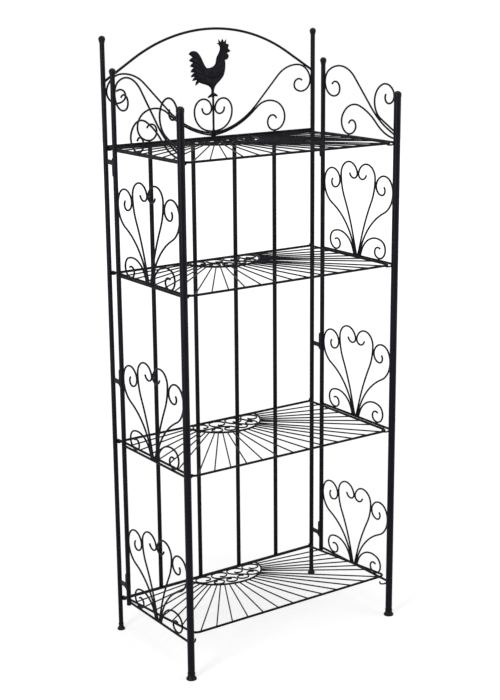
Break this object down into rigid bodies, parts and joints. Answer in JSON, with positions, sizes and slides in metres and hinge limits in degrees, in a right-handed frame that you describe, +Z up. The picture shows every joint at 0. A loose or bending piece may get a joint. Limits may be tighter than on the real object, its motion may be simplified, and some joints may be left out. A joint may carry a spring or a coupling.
{
  "type": "folding bakers rack",
  "caption": "Folding wire bakers rack with an arched back panel, hinged scrollwork sides and sunburst shelves that swing up on pivot rods.",
  "frame": {"origin": "on the floor, at the middle of the rack's footprint", "axes": "+X to the right along the back panel, +Y towards the back, +Z up; the front faces -Y"},
  "size_m": [0.703, 0.395, 1.6578],
  "materials": {
    "coated_tube": "satin black powder coat on steel tube",
    "coated_wire": "satin black powder coat on steel wire",
    "coated_sheet": "satin black powder coat on cut steel sheet",
    "coated_fittings": "satin black powder coat, worn a little where it moves",
    "black_plastic": "moulded black plastic, low sheen"
  },
  "bodies": {
    "back_panel": {"arch": "coated_wire", "back_bar_1": "coated_tube", "back_bar_2": "coated_tube", "back_bar_3": "coated_tube", "back_bar_4": "coated_tube", "back_bottom_rail": "coated_tube", "back_feet": "black_plastic", "back_finials": "black_plastic", "back_top_rail": "coated_wire", "heart_scrolls": "coated_wire", "left_back_post": "coated_tube", "left_hinge_eyes": "coated_fittings", "left_large_back_scroll": "coated_wire", "left_small_back_scroll": "coated_wire", "right_back_post": "coated_tube", "right_hinge_eyes": "coated_fittings", "right_large_back_scroll": "coated_wire", "right_small_back_scroll": "coated_wire", "rooster": "coated_sheet", "rooster_stem": "coated_wire", "shelf_pivot_tabs": "coated_fittings"},
    "left_side": {"left_crest_scrolls": "coated_wire", "left_finials": "black_plastic", "left_front_foot": "black_plastic", "left_front_post": "coated_tube", "left_hinge_pins": "coated_fittings", "left_lower_fan": "coated_wire", "left_middle_fan": "coated_wire", "left_rear_post": "coated_tube", "left_shelf_hooks": "coated_fittings", "left_side_rails": "coated_wire", "left_upper_fan": "coated_wire"},
    "right_side": {"right_crest_scrolls": "coated_wire", "right_finials": "black_plastic", "right_front_foot": "black_plastic", "right_front_post": "coated_tube", "right_hinge_pins": "coated_fittings", "right_lower_fan": "coated_wire", "right_middle_fan": "coated_wire", "right_rear_post": "coated_tube", "right_shelf_hooks": "coated_fittings", "right_side_rails": "coated_wire", "right_upper_fan": "coated_wire"},
    "shelf_1": {"shelf_1_frame": "coated_wire", "shelf_1_medallion": "coated_wire", "shelf_1_pivot_rod": "coated_wire", "shelf_1_rays": "coated_wire"},
    "shelf_2": {"shelf_2_frame": "coated_wire", "shelf_2_medallion": "coated_wire", "shelf_2_pivot_rod": "coated_wire", "shelf_2_rays": "coated_wire"},
    "shelf_3": {"shelf_3_frame": "coated_wire", "shelf_3_medallion": "coated_wire", "shelf_3_pivot_rod": "coated_wire", "shelf_3_rays": "coated_wire"},
    "shelf_4": {"shelf_4_frame": "coated_wire", "shelf_4_medallion": "coated_wire", "shelf_4_pivot_rod": "coated_wire", "shelf_4_rays": "coated_wire"}
  },
  "joints": [
    {"name": "left_side_swing", "type": "hinge", "parent": "back_panel", "child": "left_side", "pos_m": [-0.3375, 0.14905, 0.736], "axis": [0, 0, -1], "range_deg": [-1, 0.2]},
    {"name": "right_side_swing", "type": "hinge", "parent": "back_panel", "child": "right_side", "pos_m": [0.3375, 0.14905, 0.736], "axis": [0, 0, 1], "range_deg": [-1, 0.2]},
    {"name": "shelf_1_lift", "type": "hinge", "parent": "back_panel", "child": "shelf_1", "pos_m": [0, 0.1765, 1.359], "axis": [-1, 0, 0], "range_deg": [0, 86]},
    {"name": "shelf_2_lift", "type": "hinge", "parent": "back_panel", "child": "shelf_2", "pos_m": [0, 0.1765, 1.03], "axis": [-1, 0, 0], "range_deg": [0, 60]},
    {"name": "shelf_3_lift", "type": "hinge", "parent": "back_panel", "child": "shelf_3", "pos_m": [0, 0.1765, 0.56], "axis": [-1, 0, 0], "range_deg": [0, 86]},
    {"name": "shelf_4_lift", "type": "hinge", "parent": "back_panel", "child": "shelf_4", "pos_m": [0, 0.1765, 0.095], "axis": [-1, 0, 0], "range_deg": [-3.62, 81]}
  ]
}
